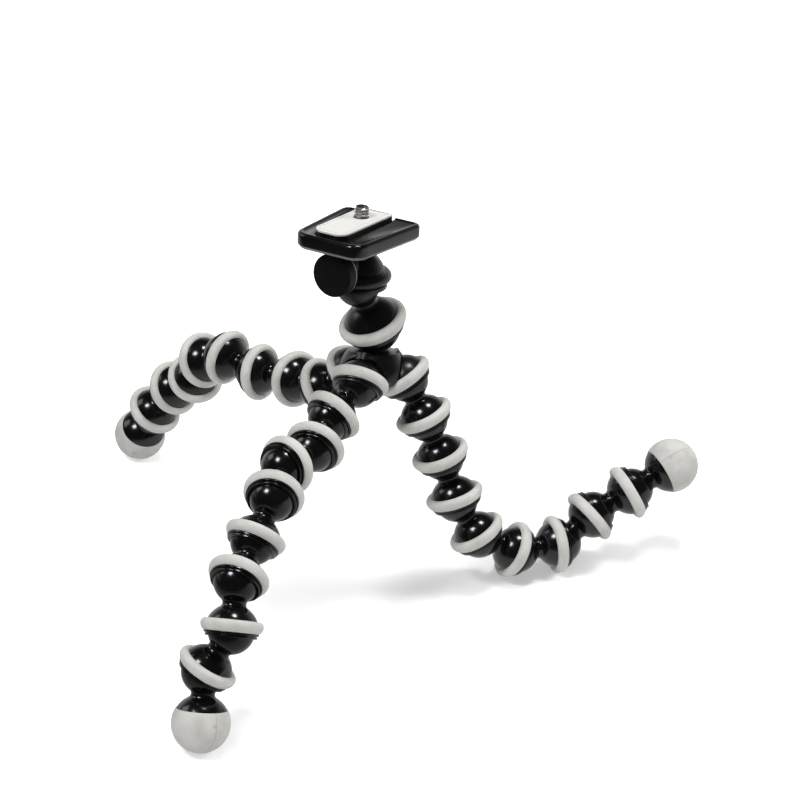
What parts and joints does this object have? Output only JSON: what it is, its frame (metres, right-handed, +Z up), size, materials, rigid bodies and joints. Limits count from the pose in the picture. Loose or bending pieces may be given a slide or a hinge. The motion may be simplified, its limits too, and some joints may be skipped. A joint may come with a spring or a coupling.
{
  "type": "mini tripod",
  "caption": "Mini camera tripod with three bendable ball-and-socket legs, rubber grip rings and feet, and a quick-release head.",
  "frame": {"origin": "on the ground under the middle of the bounding box, in the posed stance", "axes": "+Z up; +X to the right as the reference view sees it, toward the raised foot; +Y away from that viewer"},
  "size_m": [0.2676, 0.2742, 0.1738],
  "materials": {
    "black_plastic": "glossy injection-moulded black plastic",
    "satin_black": "satin black plastic",
    "grip_rubber": "smooth light warm-grey rubber",
    "plate_plastic": "fine-grained light grey plastic",
    "screw_steel": "nickel-plated steel"
  },
  "bodies": {
    "hub": {"hub": "black_plastic", "hub_rings": "grip_rubber"},
    "neck_link": {"neck_link": "black_plastic", "neck_ring": "grip_rubber"},
    "head": {"head_socket": "black_plastic", "tray": "black_plastic"},
    "lock_knob": {"lock_knob": "satin_black"},
    "quick_release_plate": {"quick_release_plate": "plate_plastic"},
    "camera_screw": {"camera_screw": "screw_steel"},
    "right_link_1": {"right_link_1": "black_plastic", "right_ring_1": "grip_rubber"},
    "right_link_2": {"right_link_2": "black_plastic", "right_ring_2": "grip_rubber"},
    "right_link_3": {"right_link_3": "black_plastic", "right_ring_3": "grip_rubber"},
    "right_link_4": {"right_link_4": "black_plastic", "right_ring_4": "grip_rubber"},
    "right_link_5": {"right_link_5": "black_plastic", "right_ring_5": "grip_rubber"},
    "right_link_6": {"right_link_6": "black_plastic", "right_ring_6": "grip_rubber"},
    "right_link_7": {"right_link_7": "black_plastic", "right_ring_7": "grip_rubber"},
    "right_link_8": {"right_link_8": "black_plastic", "right_ring_8": "grip_rubber"},
    "right_foot": {"right_foot": "grip_rubber"},
    "front_link_1": {"front_link_1": "black_plastic", "front_ring_1": "grip_rubber"},
    "front_link_2": {"front_link_2": "black_plastic", "front_ring_2": "grip_rubber"},
    "front_link_3": {"front_link_3": "black_plastic", "front_ring_3": "grip_rubber"},
    "front_link_4": {"front_link_4": "black_plastic", "front_ring_4": "grip_rubber"},
    "front_link_5": {"front_link_5": "black_plastic", "front_ring_5": "grip_rubber"},
    "front_link_6": {"front_link_6": "black_plastic", "front_ring_6": "grip_rubber"},
    "front_link_7": {"front_link_7": "black_plastic", "front_ring_7": "grip_rubber"},
    "front_link_8": {"front_link_8": "black_plastic", "front_ring_8": "grip_rubber"},
    "front_foot": {"front_foot": "grip_rubber"},
    "rear_link_1": {"rear_link_1": "black_plastic", "rear_ring_1": "grip_rubber"},
    "rear_link_2": {"rear_link_2": "black_plastic", "rear_ring_2": "grip_rubber"},
    "rear_link_3": {"rear_link_3": "black_plastic", "rear_ring_3": "grip_rubber"},
    "rear_link_4": {"rear_link_4": "black_plastic", "rear_ring_4": "grip_rubber"},
    "rear_link_5": {"rear_link_5": "black_plastic", "rear_ring_5": "grip_rubber"},
    "rear_link_6": {"rear_link_6": "black_plastic", "rear_ring_6": "grip_rubber"},
    "rear_link_7": {"rear_link_7": "black_plastic", "rear_ring_7": "grip_rubber"},
    "rear_link_8": {"rear_link_8": "black_plastic", "rear_ring_8": "grip_rubber"},
    "rear_foot": {"rear_foot": "grip_rubber"}
  },
  "joints": [
    {"name": "neck_turn", "type": "hinge", "parent": "hub", "child": "neck_link", "pos_m": [-0.00842, 0.01552, 0.11929], "axis": [0.0626, 0.2337, 0.9703], "range_deg": [-170, 170]},
    {"name": "head_tilt", "type": "hinge", "parent": "neck_link", "child": "head", "pos_m": [-0.01517, 0.01162, 0.14072], "axis": [-0.6013, 0.7978, -0.0444], "range_deg": [-65, 14]},
    {"name": "lock_knob_turn", "type": "hinge", "parent": "head", "child": "lock_knob", "pos_m": [-0.02583, -0.00438, 0.15208], "axis": [-0.5475, -0.8303, 0.1041], "range_deg": [0, 270]},
    {"name": "plate_slide", "type": "slide", "parent": "head", "child": "quick_release_plate", "axis": [0.5475, 0.8303, -0.1041], "range_m": [0, 0.036]},
    {"name": "camera_screw_turn", "type": "hinge", "parent": "quick_release_plate", "child": "camera_screw", "pos_m": [-0.01307, 0.01827, 0.17117], "axis": [0.0491, 0.0923, 0.9945], "continuous": true},
    {"name": "right_link_1_bend", "type": "hinge", "parent": "hub", "child": "right_link_1", "pos_m": [0.00475, 0.0116, 0.09553], "axis": [0.2269, 0.9739, 0.0009], "range_deg": [-46, 27]},
    {"name": "right_link_2_bend", "type": "hinge", "parent": "right_link_1", "child": "right_link_2", "pos_m": [0.01299, 0.0097, 0.07738], "axis": [-0.7055, 0.5963, -0.3831], "range_deg": [-36, 36]},
    {"name": "right_link_3_bend", "type": "hinge", "parent": "right_link_2", "child": "right_link_3", "pos_m": [0.01981, 0.00898, 0.05856], "axis": [0.8983, -0.2832, 0.3359], "range_deg": [-29, 44]},
    {"name": "right_link_4_bend", "type": "hinge", "parent": "right_link_3", "child": "right_link_4", "pos_m": [0.0258, 0.00566, 0.03975], "axis": [-0.8909, -0.4012, -0.2128], "range_deg": [-34, 34]},
    {"name": "right_link_5_bend", "type": "hinge", "parent": "right_link_4", "child": "right_link_5", "pos_m": [0.03571, 0.00427, 0.02241], "axis": [0.3722, -0.8837, 0.2838], "range_deg": [-70, 3]},
    {"name": "right_link_6_bend", "type": "hinge", "parent": "right_link_5", "child": "right_link_6", "pos_m": [0.05261, 0.00817, 0.01239], "axis": [0.4525, 0.2425, 0.8582], "range_deg": [-20, 20]},
    {"name": "right_link_7_bend", "type": "hinge", "parent": "right_link_6", "child": "right_link_7", "pos_m": [0.07175, 0.01402, 0.01274], "axis": [-0.2775, 0.9235, -0.2649], "range_deg": [-3, 70]},
    {"name": "right_link_8_bend", "type": "hinge", "parent": "right_link_7", "child": "right_link_8", "pos_m": [0.08672, 0.02165, 0.02365], "axis": [-0.6631, 0.4804, 0.574], "range_deg": [-35, 35]},
    {"name": "right_foot_bend", "type": "hinge", "parent": "right_link_8", "child": "right_foot", "pos_m": [0.10398, 0.02726, 0.03211], "axis": [-0.5048, 0.3959, 0.7671], "range_deg": [-42, 31]},
    {"name": "front_link_1_bend", "type": "hinge", "parent": "hub", "child": "front_link_1", "pos_m": [-0.01566, -0.00299, 0.10036], "axis": [-0.4581, 0.6822, -0.5698], "range_deg": [-58, 15]},
    {"name": "front_link_2_bend", "type": "hinge", "parent": "front_link_1", "child": "front_link_2", "pos_m": [-0.02726, -0.01731, 0.09254], "axis": [0.6283, -0.6973, 0.3451], "range_deg": [-32, 32]},
    {"name": "front_link_3_bend", "type": "hinge", "parent": "front_link_2", "child": "front_link_3", "pos_m": [-0.03419, -0.03537, 0.08735], "axis": [0.6272, -0.4276, 0.651], "range_deg": [-14, 59]},
    {"name": "front_link_4_bend", "type": "hinge", "parent": "front_link_3", "child": "front_link_4", "pos_m": [-0.04595, -0.05156, 0.08805], "axis": [-0.683, 0.5184, 0.5146], "range_deg": [-25, 25]},
    {"name": "front_link_5_bend", "type": "hinge", "parent": "front_link_4", "child": "front_link_5", "pos_m": [-0.05003, -0.07072, 0.08389], "axis": [0.89, -0.0921, -0.4465], "range_deg": [-65, 8]},
    {"name": "front_link_6_bend", "type": "hinge", "parent": "front_link_5", "child": "front_link_6", "pos_m": [-0.05753, -0.08484, 0.07184], "axis": [0.1721, -0.6908, 0.7022], "range_deg": [-33, 33]},
    {"name": "front_link_7_bend", "type": "hinge", "parent": "front_link_6", "child": "front_link_7", "pos_m": [-0.06384, -0.10216, 0.06401], "axis": [-0.9134, 0.3881, -0.1232], "range_deg": [-2, 71]},
    {"name": "front_link_8_bend", "type": "hinge", "parent": "front_link_7", "child": "front_link_8", "pos_m": [-0.06611, -0.11283, 0.04722], "axis": [0.8566, -0.48, 0.1893], "range_deg": [-18, 18]},
    {"name": "front_foot_bend", "type": "hinge", "parent": "front_link_8", "child": "front_foot", "pos_m": [-0.07723, -0.11666, 0.03102], "axis": [-0.3015, -0.8605, 0.4107], "range_deg": [-67, 6]},
    {"name": "rear_link_1_bend", "type": "hinge", "parent": "hub", "child": "rear_link_1", "pos_m": [-0.01869, 0.02172, 0.0946], "axis": [0.4741, 0.878, 0.0655], "range_deg": [-62, 11]},
    {"name": "rear_link_2_bend", "type": "hinge", "parent": "rear_link_1", "child": "rear_link_2", "pos_m": [-0.03275, 0.03017, 0.08312], "axis": [-0.0592, 0.7682, 0.6375], "range_deg": [-18, 18]},
    {"name": "rear_link_3_bend", "type": "hinge", "parent": "rear_link_2", "child": "rear_link_3", "pos_m": [-0.04523, 0.04558, 0.08033], "axis": [0.0104, -0.1698, -0.9854], "range_deg": [-20, 53]},
    {"name": "rear_link_4_bend", "type": "hinge", "parent": "rear_link_3", "child": "rear_link_4", "pos_m": [-0.06174, 0.05671, 0.07824], "axis": [-0.2829, -0.5651, -0.775], "range_deg": [-35, 35]},
    {"name": "rear_link_5_bend", "type": "hinge", "parent": "rear_link_4", "child": "rear_link_5", "pos_m": [-0.07659, 0.07008, 0.07964], "axis": [-0.6626, -0.7115, -0.2338], "range_deg": [-68, 5]},
    {"name": "rear_link_6_bend", "type": "hinge", "parent": "rear_link_5", "child": "rear_link_6", "pos_m": [-0.08806, 0.08375, 0.07055], "axis": [0.607, -0.0191, -0.7945], "range_deg": [-24, 24]},
    {"name": "rear_link_7_bend", "type": "hinge", "parent": "rear_link_6", "child": "rear_link_7", "pos_m": [-0.09237, 0.09559, 0.05498], "axis": [-0.343, -0.7909, -0.5068], "range_deg": [-10, 63]},
    {"name": "rear_link_8_bend", "type": "hinge", "parent": "rear_link_7", "child": "rear_link_8", "pos_m": [-0.10437, 0.1076, 0.04437], "axis": [-0.1714, 0.5506, 0.817], "range_deg": [-31, 31]},
    {"name": "rear_foot_bend", "type": "hinge", "parent": "rear_link_8", "child": "rear_foot", "pos_m": [-0.11435, 0.11484, 0.02859], "axis": [0.5233, -0.5992, -0.6059], "range_deg": [-47, 26]}
  ]
}
